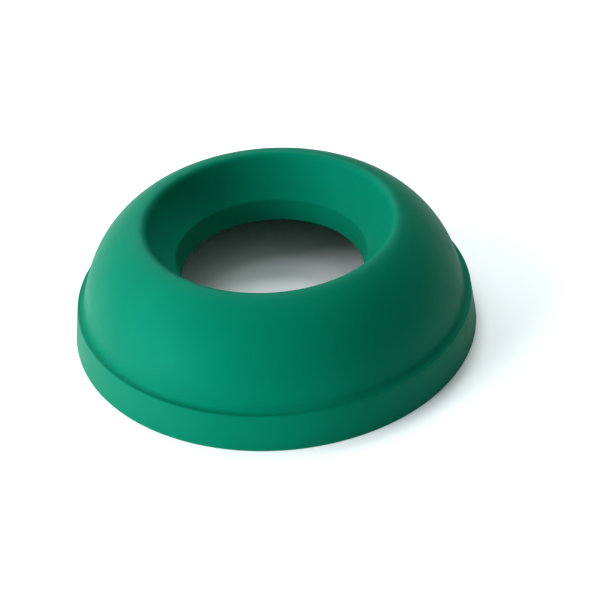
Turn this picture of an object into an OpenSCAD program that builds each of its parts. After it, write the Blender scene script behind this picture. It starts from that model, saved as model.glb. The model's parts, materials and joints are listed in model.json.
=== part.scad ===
// Domed funnel lid for a round waste bin, in millimetres.
// The lid is one thin-walled plastic moulding of revolution about the Z axis.
// It stands on the foot of its skirt at z = 0.

/* [Lid] */
// Outer diameter across the foot of the skirt
lid_d = 400; // [380:1:420]
// Height from the foot of the skirt to the top of the lip
lid_h = 116.5; // [112:0.5:124]
// Wall thickness of the moulding
wall = 2.5; // [2:0.1:3]

/* [Skirt] */
// Height of the skirt, up to the ledge
skirt_h = 35.5; // [33:0.5:39]
// Lean of the skirt's outer face from upright, in degrees
skirt_draft = 9.5; // [8:0.1:10.5]
// Width of the ledge, from the skirt's outer edge to the foot of the dome
ledge_w = 6.5; // [6:0.5:8]
// Height of the upright band inside the skirt, under the ledge
land_h = 6; // [4:1:8]

/* [Dome] */
// Lean of the dome at its foot from upright, in degrees
dome_lean = 12; // [10:0.5:14]
// Pull of the dome's curve at its foot
foot_pull = 55; // [50:1:60]
// Pull of the dome's curve at the lip
crest_pull = 12; // [9:1:15]

/* [Mouth] */
// Diameter of the circle along the top of the lip
lip_d = 247; // [243:1:251]
// Radius of the rolled lip
lip_r = 7; // [6:0.5:9]
// Lean of the funnel from upright, just below the lip
funnel_lean = 17; // [13:1:21]
// Lean of the funnel from upright, where it meets the throat
funnel_foot_lean = 51; // [45:1:55]
// Pull of the funnel's curve at both its ends
funnel_pull = 14; // [12:1:16]
// Diameter where the funnel meets the throat
funnel_d = 186; // [182:1:190]
// Height where the funnel meets the throat
funnel_z = 76; // [72:1:80]
// Diameter at the bottom of the throat
throat_d = 179; // [175:1:180]
// Height of the bottom of the throat
throat_z = 54; // [50:1:58]

/* [Hidden] */
$fn = 180;

lid_green = [0, 0.52, 0.39];
edge_round = 0.6;     // free edges of the skirt and the throat
shoulder_round = 1.5; // top edge of the skirt
ledge_fillet = 5.5;   // where the ledge turns up into the dome
seat_round = 1.2;     // inner edge of the seat, under the dome's foot
throat_round = 2;     // edge between the funnel and the throat
land_run_out = 3;     // height over which the band runs out into the skirt's draft
dome_steps = 28;
funnel_steps = 10;
arc_step = 9;         // most degrees between two points of a round

// The outline is drawn in the (radius, height) plane.

function unit(v) = v / norm(v);
function angle_of(v) = atan2(v[1], v[0]);
// Unit vector on the right-hand side of the direction v.
function right_of(v) = [unit(v)[1], -unit(v)[0]];

// Points of a round about c, from angle a to angle b, both ends included.
function arc(c, r, a, b) =
    let (n = max(2, ceil(abs(b - a) / arc_step)))
    [for (i = [0:n]) c + r * [cos(a + (b - a) * i / n), sin(a + (b - a) * i / n)]];

// The corner q between p and s, rounded to radius r.
function rounded(p, q, s, r) =
    let (
        to_p = unit(p - q),
        to_s = unit(s - q),
        half = acos(to_p * to_s) / 2,
        c = q + unit(to_p + to_s) * r / sin(half),
        a = angle_of(q + to_p * r / tan(half) - c),
        b = angle_of(q + to_s * r / tan(half) - c),
        turn = (b - a + 540) % 360 - 180
    )
    arc(c, r, a, a + turn);

// Where the line through p along u meets the line through q along v.
function meet(p, u, q, v) =
    p + u * ((q[0] - p[0]) * v[1] - (q[1] - p[1]) * v[0]) / (u[0] * v[1] - u[1] * v[0]);

// Unit vectors along a line that leans in to the axis, climbing and falling.
function climbing(lean) = [-sin(lean), cos(lean)];
function falling(lean) = [-sin(lean), -cos(lean)];

function bezier(p, t) =
    pow(1 - t, 3) * p[0] + 3 * pow(1 - t, 2) * t * p[1]
    + 3 * (1 - t) * t * t * p[2] + pow(t, 3) * p[3];
function bezier_slope(p, t) =
    pow(1 - t, 2) * (p[1] - p[0]) + 2 * (1 - t) * t * (p[2] - p[1]) + t * t * (p[3] - p[2]);
// A curve's points between its ends, a depth below the face on its right-hand side.
function curve_line(p, steps, depth) =
    [for (i = [1:steps - 1])
        let (t = i / steps)
        bezier(p, t) - depth * right_of(bezier_slope(p, t))];

// Skirt and ledge
skirt_dir = climbing(skirt_draft);
foot = [lid_d / 2, 0];
shoulder = foot + skirt_dir * skirt_h / cos(skirt_draft);
foot_in = foot - [wall / cos(skirt_draft), 0];
seat_z = skirt_h - wall;
land_r = meet(foot_in, skirt_dir, [0, seat_z], [1, 0])[0];
land_top = [land_r, seat_z];
land_foot = land_top - [0, land_h];
run_out = meet(foot_in, skirt_dir, land_foot - [0, land_run_out], [1, 0]);

// Dome, from the end of the ledge's fillet to the top of the lip
dome_dir = climbing(dome_lean);
dome_corner = shoulder - [ledge_w, 0];
dome_corner_half = (90 + dome_lean) / 2;
dome_foot = dome_corner + dome_dir * ledge_fillet / tan(dome_corner_half);
crest = [lip_d / 2, lid_h];
dome_curve = [dome_foot, dome_foot + foot_pull * dome_dir, crest + [crest_pull, 0], crest];
dome_in = dome_foot - wall * right_of(dome_dir);
seat_edge = meet(dome_in, dome_dir, land_top, [1, 0]);

// Funnel, hollow like a bowl, and throat
lip_c = crest - [0, lip_r];
funnel_facing = 180 - funnel_lean;
funnel_top = lip_c + lip_r * [cos(funnel_facing), sin(funnel_facing)];
funnel_corner = [funnel_d / 2, funnel_z];
funnel_foot_dir = falling(funnel_foot_lean);
funnel_curve = [
    funnel_top,
    funnel_top + funnel_pull * falling(funnel_lean),
    funnel_corner - funnel_pull * funnel_foot_dir,
    funnel_corner
];
throat_foot = [throat_d / 2, throat_z];
throat_dir = unit(throat_foot - funnel_corner);
throat_in = throat_foot - wall * right_of(throat_dir);
throat_in_foot = meet(throat_in, throat_dir, throat_foot, [1, 0]);
funnel_in = funnel_corner - wall * right_of(funnel_foot_dir);
funnel_in_pull = funnel_in - funnel_pull * funnel_foot_dir;
funnel_in_corner = meet(funnel_in, funnel_foot_dir, throat_in, throat_dir);

function reversed(list) = [for (i = [len(list) - 1:-1:0]) list[i]];

outer_face = concat(
    rounded(foot_in, foot, shoulder, edge_round),
    rounded(foot, shoulder, dome_corner, shoulder_round),
    rounded(shoulder, dome_corner, dome_foot, ledge_fillet),
    curve_line(dome_curve, dome_steps, 0),
    arc(lip_c, lip_r, 90, funnel_facing),
    curve_line(funnel_curve, funnel_steps, 0),
    rounded(funnel_curve[2], funnel_corner, throat_foot, throat_round),
    rounded(funnel_corner, throat_foot, throat_in_foot, edge_round)
);

under_face = concat(
    rounded(throat_foot, throat_in_foot, funnel_in_corner, edge_round),
    rounded(throat_in_foot, funnel_in_corner, funnel_in_pull, throat_round + wall),
    reversed(curve_line(funnel_curve, funnel_steps, wall)),
    arc(lip_c, lip_r - wall, funnel_facing, 90),
    reversed(curve_line(dome_curve, dome_steps, wall)),
    rounded(dome_in, seat_edge, land_top, seat_round),
    [land_top, land_foot, run_out],
    rounded(run_out, foot_in, foot, edge_round)
);

module lid() {
    color(lid_green) rotate_extrude() polygon(concat(outer_face, under_face));
}

lid();
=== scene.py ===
import json
import logging
import math
from dataclasses import dataclass, field, replace
from enum import Enum

import bmesh
import bpy
from mathutils import Matrix, Vector


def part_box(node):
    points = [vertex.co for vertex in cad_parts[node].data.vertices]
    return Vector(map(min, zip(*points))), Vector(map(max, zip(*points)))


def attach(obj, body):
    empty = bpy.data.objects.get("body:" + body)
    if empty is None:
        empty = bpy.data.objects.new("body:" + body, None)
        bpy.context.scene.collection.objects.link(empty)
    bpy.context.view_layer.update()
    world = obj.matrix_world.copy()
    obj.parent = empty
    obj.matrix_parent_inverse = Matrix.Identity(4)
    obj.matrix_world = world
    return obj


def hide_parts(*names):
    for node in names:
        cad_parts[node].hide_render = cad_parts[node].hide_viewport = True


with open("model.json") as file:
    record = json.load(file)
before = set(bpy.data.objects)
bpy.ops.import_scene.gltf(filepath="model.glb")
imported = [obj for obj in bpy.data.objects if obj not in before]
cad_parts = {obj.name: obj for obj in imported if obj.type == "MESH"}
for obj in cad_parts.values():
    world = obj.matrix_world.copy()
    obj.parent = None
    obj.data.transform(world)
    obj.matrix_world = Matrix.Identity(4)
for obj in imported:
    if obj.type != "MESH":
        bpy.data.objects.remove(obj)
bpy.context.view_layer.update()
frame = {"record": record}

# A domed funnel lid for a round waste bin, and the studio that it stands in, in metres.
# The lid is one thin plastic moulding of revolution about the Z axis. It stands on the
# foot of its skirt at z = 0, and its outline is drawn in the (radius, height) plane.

log = logging.getLogger("lid_scene")

Colour = tuple[float, float, float]
Tree = bpy.types.NodeTree
Socket = bpy.types.NodeSocket

MM = 0.001
ORIGIN = Vector((0.0, 0.0, 0.0))

# Directions in the outline's plane, in degrees from straight outwards and as a vector
STRAIGHT_UP = 90.0
STRAIGHT_IN = 180.0
OUTWARDS = Vector((1.0, 0.0))

# Points nearer than this are merged
WELD_GAP = 0.01 * MM
# How near to a ring a point lies when it belongs to that ring
RING_GAP = 0.02 * MM
# Share of a corner's reach that its bevel takes, so that it stops short of the next ring
BEVEL_SHARE = 0.999


# ---------------------------------------------------------------- the outline


@dataclass(frozen=True)
class Rounding:
    """How a corner of the outline is rounded off.

    Attributes:
        radius: Radius of the round, in metres.
        segments: How many flat strips the round is made of.
    """

    radius: float
    segments: int


@dataclass(frozen=True)
class Station:
    """One ring of the moulding's outline, in the (radius, height) plane.

    A station with a rounding is a corner that is rounded off after the rings
    are raised; one without is a point on a straight or a curve.

    Attributes:
        radius: Distance from the axis, in metres.
        height: Height above the foot, in metres.
        rounding: How the corner is rounded off, if it is a corner.
    """

    radius: float
    height: float
    rounding: Rounding | None = None

    @property
    def place(self) -> Vector:
        """The station as a point of the (radius, height) plane."""
        return Vector((self.radius, self.height))

    @classmethod
    def at(cls, place: Vector, rounding: Rounding | None = None) -> "Station":
        """A station at a point of the (radius, height) plane."""
        return cls(place.x, place.y, rounding)


def leaning(degrees: float) -> Vector:
    """The direction that climbs and leans in to the axis by an angle from upright."""
    angle = math.radians(degrees)
    return Vector((-math.sin(angle), math.cos(angle)))


def falling(degrees: float) -> Vector:
    """The direction that falls and leans in to the axis by an angle from upright."""
    angle = math.radians(degrees)
    return Vector((-math.sin(angle), -math.cos(angle)))


def facing(degrees: float) -> Vector:
    """The unit direction at an angle from straight outwards."""
    angle = math.radians(degrees)
    return Vector((math.cos(angle), math.sin(angle)))


def right_of(direction: Vector) -> Vector:
    """The unit direction on the right-hand side of another."""
    unit = direction.normalized()
    return Vector((unit.y, -unit.x))


def meet(p: Vector, u: Vector, q: Vector, v: Vector) -> Vector:
    """Finds where two lines cross.

    Args:
        p: A point on the first line, which runs along u.
        u: The first line's direction.
        q: A point on the second line, which runs along v.
        v: The second line's direction.

    Returns:
        The point that is on both lines.
    """
    return p + u * ((q - p).cross(v) / u.cross(v))


def curve_line(curve: list[Vector], steps: int, depth: float) -> list[Station]:
    """Sets stations along a cubic curve, between its ends.

    Args:
        curve: Its four control points.
        steps: How many equal steps it is cut into.
        depth: How far to the left of the curve the stations lie.

    Returns:
        The stations, in the curve's direction, without its two ends.
    """
    start, start_pull, end_pull, end = curve
    line = []
    for step in range(1, steps):
        t = step / steps
        s = 1 - t
        point = (
            start * s**3
            + start_pull * (3 * s * s * t)
            + end_pull * (3 * s * t * t)
            + end * t**3
        )
        slope = (
            (start_pull - start) * (s * s)
            + (end_pull - start_pull) * (2 * s * t)
            + (end - end_pull) * (t * t)
        )
        line.append(Station.at(point - right_of(slope) * depth))
    return line


def tangent_length(before: Station, corner: Station, after: Station) -> float:
    """Works out how far along its two sides a corner's rounding reaches.

    Args:
        before: The station before the corner.
        corner: The corner itself.
        after: The station after it.

    Returns:
        The distance from the corner to where its round ends, or 0 without a rounding.
    """
    if corner.rounding is None:
        return 0.0
    half = (before.place - corner.place).angle(after.place - corner.place) / 2
    return corner.rounding.radius / math.tan(half)


@dataclass
class Outline:
    """The closed outline of the moulding, as stations in order round the wall.

    Attributes:
        stations: The rings, from the outer foot up, over and back underneath.
        hold: Distance from a rounding to the ring that keeps its side straight.
    """

    stations: list[Station]
    hold: float = 1.0 * MM

    def reach(self, index: int) -> float:
        """Works out how far the rounding of a station reaches along its sides.

        Args:
            index: The station's place in the outline.

        Returns:
            The distance from the station, in metres.
        """
        count = len(self.stations)
        before = self.stations[(index - 1) % count]
        after = self.stations[(index + 1) % count]
        return tangent_length(before, self.stations[index], after)

    def corners(self) -> list[tuple[Station, float]]:
        """The stations that are rounded, each with how far its rounding reaches."""
        return [(s, self.reach(i)) for i, s in enumerate(self.stations) if s.rounding]

    def held(self) -> list[Station]:
        """Adds a holding ring just past each rounding on a long side.

        Returns:
            All rings of the moulding, in order.
        """
        rings: list[Station] = []
        count = len(self.stations)
        for index, station in enumerate(self.stations):
            following = self.stations[(index + 1) % count]
            rings.append(station)
            side = following.place - station.place
            near = self.reach(index) + self.hold
            far = side.length - self.reach((index + 1) % count) - self.hold
            if far - near < self.hold:
                continue
            along = side.normalized()
            rings.append(Station.at(station.place + along * near))
            rings.append(Station.at(station.place + along * far))
        return rings


# ------------------------------------------------------------------ finishes


def ramp(
    tree: Tree, value: Socket, start: tuple[float, float], end: tuple[float, float]
) -> Socket:
    """Maps one range of a value to another, clamped at its ends.

    Args:
        tree: The material's node tree.
        value: The value to map.
        start: The range to read, as two ends.
        end: What those two ends become.

    Returns:
        The mapped value.
    """
    node = tree.nodes.new("ShaderNodeMapRange")
    node.inputs["From Min"].default_value, node.inputs["From Max"].default_value = start
    node.inputs["To Min"].default_value, node.inputs["To Max"].default_value = end
    tree.links.new(value, node.inputs["Value"])
    return node.outputs["Result"]


@dataclass(frozen=True)
class Mottle:
    """A soft uneven pattern all over a surface.

    Attributes:
        size: Width of one patch, in metres.
        detail: How many finer layers lie in it.
        band: The pattern's values where a patch starts and where it is full.
    """

    size: float
    detail: float
    band: tuple[float, float] = (0.0, 1.0)

    def noise(self, tree: Tree, place: Socket) -> Socket:
        """Adds the plain pattern.

        Args:
            tree: The material's node tree.
            place: The coordinates to read.

        Returns:
            The pattern's value, from 0 to 1.
        """
        noise = tree.nodes.new("ShaderNodeTexNoise")
        noise.inputs["Scale"].default_value = 1.0 / self.size
        noise.inputs["Detail"].default_value = self.detail
        tree.links.new(place, noise.inputs["Vector"])
        return noise.outputs["Fac"]

    def between(self, tree: Tree, place: Socket, ends: tuple[float, float]) -> Socket:
        """The pattern, spread between two values by its band."""
        return ramp(tree, self.noise(tree, place), self.band, ends)


@dataclass(frozen=True)
class SatinPolypropylene:
    """Satin injection-moulded polypropylene, coloured all through.

    Attributes:
        name: The material's name.
        deep: Linear colour where the pigment lies a little thicker.
        pale: Linear colour where it lies a little thinner.
        scuff: Linear colour of the pale rub marks on the foot.
        sheen_colour: Colour that the surface gives to its highlights.
        roughness: Least and most roughness of the satin.
        gloss: Specular level of the surface.
        ior: The plastic's index of refraction.
        clouds: The pigment's faint clouds.
        satin: The patches over which the roughness wanders.
        grain: The fine texture that the mould's blasted face leaves.
        grain_depth: Depth of that texture, in metres.
        grain_strength: How much of that depth shows.
        rubs: The patches that are rubbed along the foot.
        rub_height: Height up the skirt that rubbing reaches, in metres.
        rub_share: Most share of the rub colour in a patch.
    """

    name: str
    deep: Colour
    pale: Colour
    scuff: Colour
    sheen_colour: Colour
    roughness: tuple[float, float] = (0.5, 0.58)
    gloss: float = 0.08
    ior: float = 1.49
    clouds: Mottle = Mottle(60 * MM, 3.0, (0.35, 0.65))
    satin: Mottle = Mottle(22 * MM, 5.0, (0.3, 0.7))
    grain: Mottle = Mottle(0.5 * MM, 2.0)
    grain_depth: float = 0.012 * MM
    grain_strength: float = 0.5
    rubs: Mottle = Mottle(9 * MM, 4.0, (0.52, 0.68))
    rub_height: float = 1.6 * MM
    rub_share: float = 0.5

    def material(self) -> bpy.types.Material:
        """Makes the node material.

        Returns:
            The new material.
        """
        made = bpy.data.materials.new(self.name)
        made.use_nodes = True
        tree = made.node_tree
        shader = tree.nodes["Principled BSDF"]
        shader.inputs["Specular IOR Level"].default_value = self.gloss
        shader.inputs["Specular Tint"].default_value = (*self.sheen_colour, 1.0)
        shader.inputs["IOR"].default_value = self.ior
        place = tree.nodes.new("ShaderNodeTexCoord").outputs["Object"]
        colour = self._rubbed(tree, place, self._clouded(tree, place))
        tree.links.new(colour, shader.inputs["Base Color"])
        satin = self.satin.between(tree, place, self.roughness)
        tree.links.new(satin, shader.inputs["Roughness"])
        tree.links.new(self._grained(tree, place), shader.inputs["Normal"])
        return made

    def _clouded(self, tree: Tree, place: Socket) -> Socket:
        """Adds the pigment's faint clouds.

        Args:
            tree: The material's node tree.
            place: The coordinates to read.

        Returns:
            The plastic's colour.
        """
        mix = tree.nodes.new("ShaderNodeMix")
        mix.data_type = "RGBA"
        mix.inputs["A"].default_value = (*self.deep, 1.0)
        mix.inputs["B"].default_value = (*self.pale, 1.0)
        tree.links.new(self.clouds.between(tree, place, (0.0, 1.0)), mix.inputs["Factor"])
        return mix.outputs["Result"]

    def _rubbed(self, tree: Tree, place: Socket, colour: Socket) -> Socket:
        """Adds pale rub marks along the foot, where the lid is set down.

        Args:
            tree: The material's node tree.
            place: The coordinates to read.
            colour: The colour of the plastic without them.

        Returns:
            The colour with the marks on it.
        """
        split = tree.nodes.new("ShaderNodeSeparateXYZ")
        tree.links.new(place, split.inputs["Vector"])
        low = ramp(tree, split.outputs["Z"], (0.0, self.rub_height), (1.0, 0.0))
        patches = self.rubs.between(tree, place, (0.0, self.rub_share))
        rubbed = tree.nodes.new("ShaderNodeMath")
        rubbed.operation = "MULTIPLY"
        tree.links.new(low, rubbed.inputs[0])
        tree.links.new(patches, rubbed.inputs[1])
        mix = tree.nodes.new("ShaderNodeMix")
        mix.data_type = "RGBA"
        mix.inputs["B"].default_value = (*self.scuff, 1.0)
        tree.links.new(rubbed.outputs["Value"], mix.inputs["Factor"])
        tree.links.new(colour, mix.inputs["A"])
        return mix.outputs["Result"]

    def _grained(self, tree: Tree, place: Socket) -> Socket:
        """Adds the fine grain that the mould's blasted face leaves.

        Args:
            tree: The material's node tree.
            place: The coordinates to read.

        Returns:
            The surface's normal.
        """
        bump = tree.nodes.new("ShaderNodeBump")
        bump.inputs["Strength"].default_value = self.grain_strength
        bump.inputs["Distance"].default_value = self.grain_depth
        tree.links.new(self.grain.noise(tree, place), bump.inputs["Height"])
        return bump.outputs["Normal"]


GREEN = SatinPolypropylene(
    name="satin_green_plastic",
    deep=(0.0, 0.108, 0.0572),
    pale=(0.0, 0.114, 0.0604),
    scuff=(0.03, 0.2, 0.13),
    sheen_colour=(0.0, 1.0, 0.95),
)


@dataclass(frozen=True)
class PaleFloorFinish:
    """The plain matt surface that the lid stands on.

    Attributes:
        name: The material's name.
        colour: Its linear colour.
        roughness: Its roughness.
        gloss: Its specular level.
    """

    name: str = "pale_floor"
    colour: Colour = (0.94, 0.94, 0.94)
    roughness: float = 1.0
    gloss: float = 0.0

    def material(self) -> bpy.types.Material:
        """Makes the node material.

        Returns:
            The new material.
        """
        made = bpy.data.materials.new(self.name)
        made.use_nodes = True
        shader = made.node_tree.nodes["Principled BSDF"]
        shader.inputs["Base Color"].default_value = (*self.colour, 1.0)
        shader.inputs["Roughness"].default_value = self.roughness
        shader.inputs["Specular IOR Level"].default_value = self.gloss
        return made


# -------------------------------------------------------------- the moulding


@dataclass
class LidMoulding:
    """The lid: skirt, ledge, dome, lip, funnel and throat, moulded in one piece.

    Sizes are in metres and leans in degrees from upright, and they match the CAD's.
    The ones that the frame states are read from it.

    Attributes:
        foot_radius: Outer radius at the foot of the skirt.
        height: Height from the foot to the top of the lip.
        land_radius: Radius of the upright band that locates the lid on a rim.
        land_height: Height of that band.
        seat_z: Height of the flat seat under the ledge.
        node: The CAD node that the moulding stands for.
        slot: The material slot meant for it; not used.
        wall: Wall thickness.
        skirt_draft: Lean of the skirt.
        ledge_width: Width of the ledge, from the skirt's edge to the dome.
        dome_lean: Lean of the dome at its foot.
        foot_pull: Pull of the dome's curve at its foot.
        crest_pull: Pull of the dome's curve at the lip.
        lip_ring: Radius of the circle along the top of the lip.
        lip_radius: Radius of the rolled lip.
        funnel_lean: Lean of the funnel just below the lip.
        funnel_foot_lean: Lean of the funnel where it meets the throat.
        funnel_pull: Pull of the funnel's curve at both its ends.
        funnel_foot: Where the funnel meets the throat.
        throat_foot: The bottom of the throat.
        edge_round: Rounding of the free edges of the skirt and the throat.
        shoulder_round: Rounding of the skirt's top edge.
        ledge_fillet: Fillet where the ledge turns up into the dome.
        throat_round: Rounding of the edge between the funnel and the throat.
        seat_round: Rounding of the seat's inner edge.
        land_round: Fillet where the seat meets the band.
        run_out: Height over which the band runs out into the skirt's draft.
        sides: How many flats each ring has.
        dome_steps: How many steps the dome's curve is cut into.
        funnel_steps: How many steps the funnel's curve is cut into.
        lip_steps: How many steps the lip's round is cut into.
    """

    foot_radius: float
    height: float
    land_radius: float
    land_height: float
    seat_z: float
    node: str = "lid"
    slot: str = "lid_plastic"
    wall: float = 2.5 * MM
    skirt_draft: float = 9.5
    ledge_width: float = 6.5 * MM
    dome_lean: float = 12.0
    foot_pull: float = 55 * MM
    crest_pull: float = 12 * MM
    lip_ring: float = 123.5 * MM
    lip_radius: float = 7 * MM
    funnel_lean: float = 17.0
    funnel_foot_lean: float = 51.0
    funnel_pull: float = 14 * MM
    funnel_foot: Vector = field(default_factory=lambda: Vector((93 * MM, 76 * MM)))
    throat_foot: Vector = field(default_factory=lambda: Vector((89.5 * MM, 54 * MM)))
    edge_round: Rounding = Rounding(0.6 * MM, 4)
    shoulder_round: Rounding = Rounding(1.5 * MM, 6)
    ledge_fillet: Rounding = Rounding(5.5 * MM, 12)
    throat_round: Rounding = Rounding(2 * MM, 6)
    seat_round: Rounding = Rounding(1.2 * MM, 5)
    land_round: Rounding = Rounding(0.3 * MM, 3)
    run_out: float = 3 * MM
    sides: int = 256
    dome_steps: int = 30
    funnel_steps: int = 12
    lip_steps: int = 12

    @classmethod
    def from_frame(cls) -> "LidMoulding":
        """Reads the sizes that the frame states.

        Returns:
            The moulding, not built yet.
        """
        low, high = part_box("lid")
        mounts = {m["name"]: m for m in frame["record"]["mounts"]}
        band = mounts["rim_bore"]["dims"]
        return cls(
            foot_radius=high.x,
            height=high.z - low.z,
            land_radius=band["r_mm"] * MM,
            land_height=band["length_mm"] * MM,
            seat_z=mounts["rim_seat"]["pos_m"][2],
        )

    # The outer face

    @property
    def shoulder(self) -> Vector:
        """The top outer corner of the skirt."""
        rise = self.seat_z + self.wall
        return Vector((self.foot_radius - rise * math.tan(math.radians(self.skirt_draft)), rise))

    @property
    def dome_corner(self) -> Vector:
        """The inner corner of the ledge, before its fillet."""
        return self.shoulder - OUTWARDS * self.ledge_width

    def dome_curve(self) -> list[Vector]:
        """Works out the dome's curve, from the ledge's fillet to the top of the lip.

        Returns:
            Its four control points.
        """
        lean = leaning(self.dome_lean)
        half = math.radians((STRAIGHT_UP + self.dome_lean) / 2)
        start = self.dome_corner + lean * (self.ledge_fillet.radius / math.tan(half))
        crest = Vector((self.lip_ring, self.height))
        return [
            start,
            start + lean * self.foot_pull,
            crest + OUTWARDS * self.crest_pull,
            crest,
        ]

    def dome_line(self, depth: float) -> list[Station]:
        """Sets stations along the dome, up to the last ring before the lip.

        Args:
            depth: How far inside the outer face the line runs.

        Returns:
            The stations, with the first one at the foot of the dome.
        """
        curve = self.dome_curve()
        foot = Station.at(curve[0] - right_of(leaning(self.dome_lean)) * depth)
        return [foot, *curve_line(curve, self.dome_steps, depth)]

    @property
    def lip_centre(self) -> Vector:
        """The centre of the lip's round."""
        return Vector((self.lip_ring, self.height - self.lip_radius))

    @property
    def funnel_facing(self) -> float:
        """Which way the top of the funnel looks, in degrees from straight outwards."""
        return STRAIGHT_IN - self.funnel_lean

    def lip_line(self, depth: float) -> list[Station]:
        """Sets stations along the lip's round, from its top to the funnel.

        Args:
            depth: How far inside the lip's face the line runs.

        Returns:
            The stations, both ends included.
        """
        radius = self.lip_radius - depth
        turn = self.funnel_facing - STRAIGHT_UP
        line = []
        for step in range(self.lip_steps + 1):
            outwards = facing(STRAIGHT_UP + turn * step / self.lip_steps)
            line.append(Station.at(self.lip_centre + outwards * radius))
        return line

    def funnel_line(self, depth: float) -> list[Station]:
        """Sets stations along the funnel's hollow curve, between lip and throat.

        Args:
            depth: How far behind the face that shows the line runs.

        Returns:
            The stations, from the lip down.
        """
        top = self.lip_centre + facing(self.funnel_facing) * self.lip_radius
        curve = [
            top,
            top + falling(self.funnel_lean) * self.funnel_pull,
            self.funnel_foot - falling(self.funnel_foot_lean) * self.funnel_pull,
            self.funnel_foot,
        ]
        return curve_line(curve, self.funnel_steps, depth)

    def outer_face(self) -> list[Station]:
        """Draws the face that shows, from the foot over the lip and down the throat.

        Returns:
            Its stations in order.
        """
        return [
            Station(self.foot_radius, 0.0, self.edge_round),
            Station.at(self.shoulder, self.shoulder_round),
            Station.at(self.dome_corner, self.ledge_fillet),
            *self.dome_line(0.0),
            *self.lip_line(0.0),
            *self.funnel_line(0.0),
            Station.at(self.funnel_foot, self.throat_round),
            Station.at(self.throat_foot, self.edge_round),
        ]

    # The underside

    def throat_back(self) -> list[Station]:
        """Draws the back of the throat, from its foot up to the funnel.

        Returns:
            The inner corner at the throat's foot and the one behind the funnel's edge.
        """
        funnel_dir = falling(self.funnel_foot_lean)
        funnel_in = self.funnel_foot - right_of(funnel_dir) * self.wall
        throat_dir = self.throat_foot - self.funnel_foot
        throat_in = self.throat_foot - right_of(throat_dir) * self.wall
        foot = meet(throat_in, throat_dir, self.throat_foot, OUTWARDS)
        corner = meet(funnel_in, funnel_dir, throat_in, throat_dir)
        wide = replace(self.throat_round, radius=self.throat_round.radius + self.wall)
        return [Station.at(foot, self.edge_round), Station.at(corner, wide)]

    def rim_seat(self, dome_foot: Vector) -> list[Station]:
        """Draws what rests on a rim: the seat, the band and the inside of the skirt.

        Args:
            dome_foot: The foot of the dome's inner face.

        Returns:
            The stations, from the seat's inner edge to the inner foot.
        """
        seat = Vector((self.land_radius, self.seat_z))
        seat_edge = meet(dome_foot, leaning(self.dome_lean), seat, OUTWARDS)
        land_end = seat - Vector((0.0, self.land_height))
        skirt_wall = self.wall / math.cos(math.radians(self.skirt_draft))
        foot_in = Vector((self.foot_radius - skirt_wall, 0.0))
        run_out_end = meet(
            foot_in, leaning(self.skirt_draft), land_end - Vector((0.0, self.run_out)), OUTWARDS
        )
        return [
            Station.at(seat_edge, self.seat_round),
            Station.at(seat, self.land_round),
            Station.at(land_end),
            Station.at(run_out_end),
            Station.at(foot_in, self.edge_round),
        ]

    def under_face(self) -> list[Station]:
        """Draws the underside, from the throat's foot to the inside of the skirt.

        Returns:
            Its stations in order.
        """
        dome_in = self.dome_line(self.wall)
        return [
            *self.throat_back(),
            *reversed(self.funnel_line(self.wall)),
            *reversed(self.lip_line(self.wall)),
            *reversed(dome_in),
            *self.rim_seat(dome_in[0].place),
        ]

    # Making it

    def build(self) -> bpy.types.Object:
        """Models the moulding.

        A ring at the foot is extruded ring by ring round the whole wall and
        closed on itself, and then each corner is bevelled to its own rounding.

        Returns:
            The finished mesh object, at the origin.
        """
        outline = Outline([*self.outer_face(), *self.under_face()])
        rings = outline.held()
        bpy.ops.object.select_all(action="DESELECT")
        bpy.ops.mesh.primitive_circle_add(
            vertices=self.sides, radius=rings[0].radius, fill_type="NOTHING", location=ORIGIN
        )
        lid = bpy.context.object
        lid.name = lid.data.name = "lid_moulding"
        bpy.ops.object.mode_set(mode="EDIT")
        bpy.ops.mesh.select_mode(type="EDGE")
        bpy.ops.mesh.select_all(action="SELECT")
        for before, after in zip(rings, [*rings[1:], rings[0]]):
            self._raise_ring(before, after)
        self._weld()
        for corner, reach in outline.corners():
            self._round_off(lid, corner, reach)
        self._weld()
        bpy.ops.object.mode_set(mode="OBJECT")
        bpy.ops.object.shade_smooth()
        return lid

    @staticmethod
    def _raise_ring(before: Station, after: Station) -> None:
        """Extrudes the selected ring to the next station.

        Args:
            before: The station that the ring is at.
            after: The station that it goes to.
        """
        bpy.ops.mesh.extrude_region_move(
            TRANSFORM_OT_translate={"value": (0.0, 0.0, after.height - before.height)}
        )
        scale = after.radius / before.radius
        bpy.ops.transform.resize(value=(scale, scale, 1.0), center_override=ORIGIN)

    @staticmethod
    def _weld() -> None:
        """Merges doubled points and turns every face outwards."""
        bpy.ops.mesh.select_all(action="SELECT")
        bpy.ops.mesh.remove_doubles(threshold=WELD_GAP)
        bpy.ops.mesh.normals_make_consistent(inside=False)
        bpy.ops.mesh.select_all(action="DESELECT")

    @staticmethod
    def _round_off(lid: bpy.types.Object, corner: Station, reach: float) -> None:
        """Bevels the ring of edges at one corner.

        Args:
            lid: The object, in edit mode.
            corner: The station of the corner.
            reach: How far along its sides the rounding goes.
        """
        bpy.ops.mesh.select_all(action="DESELECT")
        shape = bmesh.from_edit_mesh(lid.data)
        for edge in shape.edges:
            edge.select = all(
                abs(v.co.xy.length - corner.radius) < RING_GAP
                and abs(v.co.z - corner.height) < RING_GAP
                for v in edge.verts
            )
        shape.select_flush_mode()
        bmesh.update_edit_mesh(lid.data)
        bpy.ops.mesh.bevel(
            offset_type="OFFSET",
            offset=reach * BEVEL_SHARE,
            segments=corner.rounding.segments,
            affect="EDGES",
            clamp_overlap=False,
        )

    def dress(self, lid: bpy.types.Object, finish: SatinPolypropylene) -> None:
        """Gives the moulding its plastic and puts it on the frame.

        Args:
            lid: The moulding's mesh object.
            finish: The plastic.
        """
        lid.data.materials.append(finish.material())
        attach(lid, "root")
        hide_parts(self.node)


# ---------------------------------------------------------------- the studio


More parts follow.
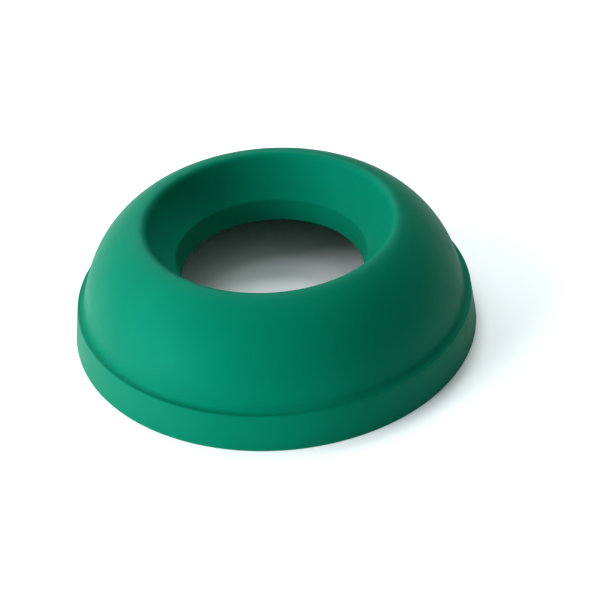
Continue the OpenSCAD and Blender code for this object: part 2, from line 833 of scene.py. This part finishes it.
class LightColour(Enum):
    """The linear colours of the studio's lights."""

    WHITE = (0.95, 1.0, 1.02)
    KEY_BLUE = (0.92, 1.0, 1.08)
    SKY_PALE = (0.87, 1.0, 0.97)


@dataclass(frozen=True)
class Softbox:
    """One square soft lamp, aimed at the lid.

    Attributes:
        name: The lamp's name.
        azimuth: Where it stands round the lid, in degrees; 0 is the camera's side.
        elevation: How high it stands, in degrees above the floor.
        power: Its power, in watts.
        colour: The colour of its light.
        distance: How far from the lid it stands, in metres.
        size: Its width, in metres.
    """

    name: str
    azimuth: float
    elevation: float
    power: float
    colour: LightColour = LightColour.WHITE
    distance: float = 2.5
    size: float = 1.2

    def build(self, aim: Vector) -> bpy.types.Object:
        """Sets the lamp up.

        Args:
            aim: The point that it looks at.

        Returns:
            The lamp.
        """
        turn, rise = math.radians(self.azimuth), math.radians(self.elevation)
        away = Vector(
            (
                math.sin(turn) * math.cos(rise),
                -math.cos(turn) * math.cos(rise),
                math.sin(rise),
            )
        )
        bpy.ops.object.light_add(type="AREA", location=aim + away * self.distance)
        lamp = bpy.context.object
        lamp.name = self.name
        lamp.rotation_euler = away.to_track_quat("Z", "Y").to_euler()
        lamp.data.shape = "SQUARE"
        lamp.data.size = self.size
        lamp.data.energy = self.power
        lamp.data.color = self.colour.value
        return lamp


@dataclass
class Camera:
    """The camera, set by where it stands and what it aims at.

    Attributes:
        distance: Distance from the middle of the lid's foot, in metres.
        elevation: Height above the floor, in degrees.
        aim: The point in the middle of the picture.
        roll: Turn about the line of sight, in degrees.
        lens: Focal length, in millimetres.
        sensor: Width of the sensor, in millimetres.
    """

    distance: float = 1.329
    elevation: float = 37.48
    aim: Vector = field(default_factory=lambda: Vector((0.02498, 0.0, 0.01479)))
    roll: float = -3.408
    lens: float = 79.27
    sensor: float = 36.0

    def build(self) -> bpy.types.Object:
        """Sets the camera up and makes it the scene's.

        Returns:
            The camera.
        """
        rise = math.radians(self.elevation)
        stand = Vector((0.0, -math.cos(rise), math.sin(rise))) * self.distance
        bpy.ops.object.camera_add(location=stand)
        camera = bpy.context.object
        camera.name = "camera"
        sight = (self.aim - stand).normalized()
        level = sight.cross(Vector((0.0, 0.0, 1.0))).normalized()
        upright = level.cross(sight)
        turn = math.radians(self.roll)
        right = level * math.cos(turn) + upright * math.sin(turn)
        up = upright * math.cos(turn) - level * math.sin(turn)
        camera.rotation_euler = Matrix((right, up, -sight)).transposed().to_euler()
        camera.data.sensor_width = self.sensor
        camera.data.lens = self.lens
        bpy.context.scene.camera = camera
        return camera


@dataclass
class Studio:
    """A pale floor under soft light.

    Attributes:
        lamps: The softboxes.
        aim: The point that they all look at, inside the lid.
        sky: Strength of the even light from all round.
        floor_width: Width of the floor, in metres.
    """

    lamps: tuple[Softbox, ...] = (
        Softbox("key_front_left", -60.0, 12.0, 103.0, LightColour.KEY_BLUE),
        Softbox("side_left", -90.0, 32.0, 38.0),
        Softbox("back", 180.0, 55.0, 41.0),
        Softbox("back_left", -150.0, 32.0, 16.0),
        Softbox("top_left", -90.0, 78.0, 7.0),
    )
    aim: Vector = field(default_factory=lambda: Vector((0.0, 0.0, 0.05)))
    sky: float = 0.37
    floor_width: float = 12.0

    def build(self) -> None:
        """Makes the floor, the lamps and the surrounding light."""
        self._floor()
        for lamp in self.lamps:
            lamp.build(self.aim)
        self._surround()
        bpy.context.scene.view_settings.view_transform = "Standard"

    def _floor(self) -> None:
        """Lays the floor that the lid stands on."""
        bpy.ops.object.select_all(action="DESELECT")
        bpy.ops.mesh.primitive_plane_add(size=self.floor_width, location=ORIGIN)
        floor = bpy.context.object
        floor.name = "floor"
        floor.data.materials.append(PaleFloorFinish().material())

    def _surround(self) -> None:
        """Sets the even light from all round."""
        world = bpy.data.worlds.new("surround")
        world.use_nodes = True
        background = world.node_tree.nodes["Background"]
        background.inputs["Color"].default_value = (*LightColour.SKY_PALE.value, 1.0)
        background.inputs["Strength"].default_value = self.sky
        bpy.context.scene.world = world


# ----------------------------------------------------------------- the whole


def main() -> None:
    """Builds the camera, the studio and the lid, and reports each piece."""
    logging.basicConfig(level=logging.INFO, format="%(message)s")
    camera = Camera().build()
    log.info("%s: lens of %.2f mm", camera.name, camera.data.lens)
    studio = Studio()
    studio.build()
    log.info("studio: floor and %d lamps", len(studio.lamps))
    moulding = LidMoulding.from_frame()
    lid = moulding.build()
    moulding.dress(lid, GREEN)
    log.info("%s: %d faces", lid.name, len(lid.data.polygons))


if __name__ == "__main__":
    main()
